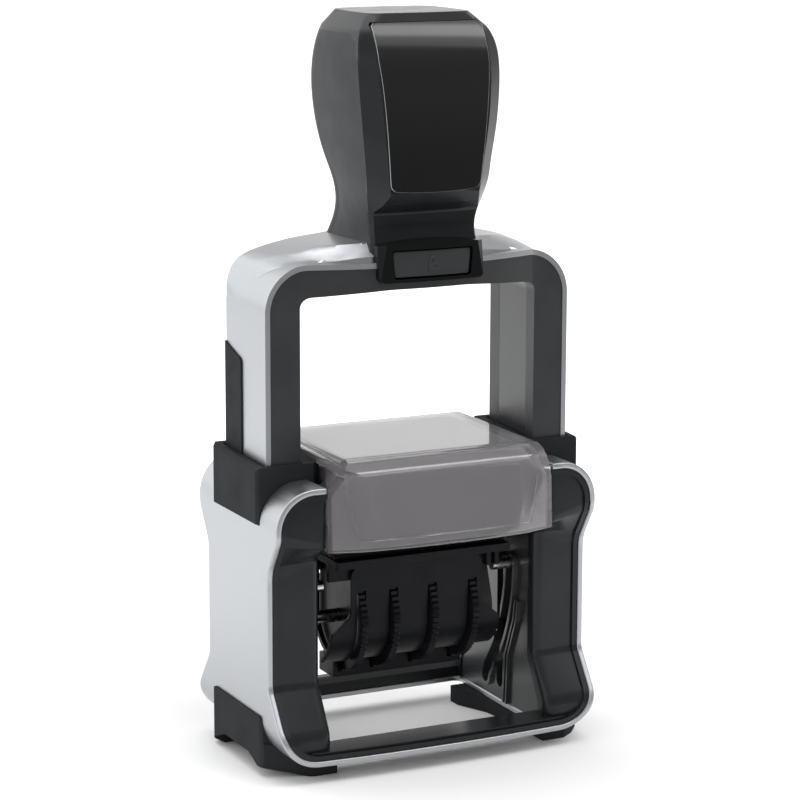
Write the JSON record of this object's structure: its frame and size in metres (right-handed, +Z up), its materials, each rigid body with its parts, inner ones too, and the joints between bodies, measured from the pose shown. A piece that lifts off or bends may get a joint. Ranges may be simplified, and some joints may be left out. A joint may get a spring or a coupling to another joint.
{
  "type": "self-inking date stamp",
  "caption": "Self-inking date stamp: steel base with feet and smoked pad cover, sliding bow with handle and lock button, and a turning date carriage.",
  "frame": {"origin": "middle of the footprint, on the surface that the feet stand on", "axes": "+Z up along the press direction, +X to the right seen from the front, the front faces -Y"},
  "size_m": [0.0772, 0.05, 0.1608],
  "materials": {
    "steel": "satin brushed stainless steel",
    "black_plastic": "satin moulded ABS",
    "soft_grip": "soft-touch moulding",
    "gloss_window": "polished",
    "card": "printed card, bare",
    "smoked_plastic": "smoked translucent moulding",
    "rubber": "moulded rubber",
    "felt": "inked felt",
    "pin_steel": "ground",
    "spring_steel": "drawn wire"
  },
  "bodies": {
    "base": {"steel_shell": "steel", "front_bezel": "black_plastic", "rear_bezel": "black_plastic", "left_collar": "black_plastic", "right_collar": "black_plastic", "left_side_wall": "black_plastic", "right_side_wall": "black_plastic", "pad_cover": "smoked_plastic", "pad_housing": "black_plastic", "left_foot": "black_plastic", "right_foot": "black_plastic", "spring_rods": "pin_steel", "return_springs": "spring_steel"},
    "yoke": {"bow_band": "steel", "bow_channel": "black_plastic", "bow_front_trim": "black_plastic", "bow_rear_trim": "black_plastic", "left_leg_rail": "black_plastic", "right_leg_rail": "black_plastic", "left_axle_pin": "pin_steel", "right_axle_pin": "pin_steel", "lock_housing": "black_plastic", "button_spring": "spring_steel", "handle_core": "black_plastic", "left_grip": "soft_grip", "right_grip": "soft_grip", "label_window": "gloss_window", "label_card": "card"},
    "button": {"lock_button": "black_plastic"},
    "carriage": {"carriage_frame": "black_plastic", "text_plate": "black_plastic", "text_die": "rubber", "date_bridge": "black_plastic", "date_cover": "black_plastic", "band_shaft": "pin_steel", "cam_pins": "pin_steel", "date_band_1": "rubber", "date_band_2": "rubber", "date_band_3": "rubber", "date_band_4": "rubber"},
    "wheel_1": {"date_wheel_1": "black_plastic"},
    "wheel_2": {"date_wheel_2": "black_plastic"},
    "wheel_3": {"date_wheel_3": "black_plastic"},
    "wheel_4": {"date_wheel_4": "black_plastic"},
    "tray": {"pad_tray": "black_plastic", "ink_pad": "felt"}
  },
  "joints": [
    {"name": "handle_press", "type": "slide", "parent": "base", "child": "yoke", "axis": [0, 0, -1], "range_m": [0, 0.029], "stiffness_N_per_m": 300, "springref_m": -0.015, "deforming": ["return_springs"]},
    {"name": "carriage_flip", "type": "hinge", "parent": "yoke", "child": "carriage", "pos_m": [0, 0, 0.0383], "axis": [1, 0, 0], "range_deg": [0, 180]},
    {"name": "lock_press", "type": "slide", "parent": "yoke", "child": "button", "axis": [0, 1, 0], "range_m": [0, 0.002], "stiffness_N_per_m": 400, "springref_m": -0.001, "deforming": ["button_spring"]},
    {"name": "pad_slide", "type": "slide", "parent": "base", "child": "tray", "axis": [0, 1, 0], "range_m": [0, 0.045]},
    {"name": "date_turn_1", "type": "hinge", "parent": "carriage", "child": "wheel_1", "pos_m": [0, 0, 0.0297], "axis": [1, 0, 0], "continuous": true},
    {"name": "date_turn_2", "type": "hinge", "parent": "carriage", "child": "wheel_2", "pos_m": [0, 0, 0.0297], "axis": [1, 0, 0], "continuous": true},
    {"name": "date_turn_3", "type": "hinge", "parent": "carriage", "child": "wheel_3", "pos_m": [0, 0, 0.0297], "axis": [1, 0, 0], "continuous": true},
    {"name": "date_turn_4", "type": "hinge", "parent": "carriage", "child": "wheel_4", "pos_m": [0, 0, 0.0297], "axis": [1, 0, 0], "continuous": true}
  ],
  "couplings": [
    {"joint": "carriage_flip", "follows": "handle_press", "rad_per_m": 108.33}
  ]
}
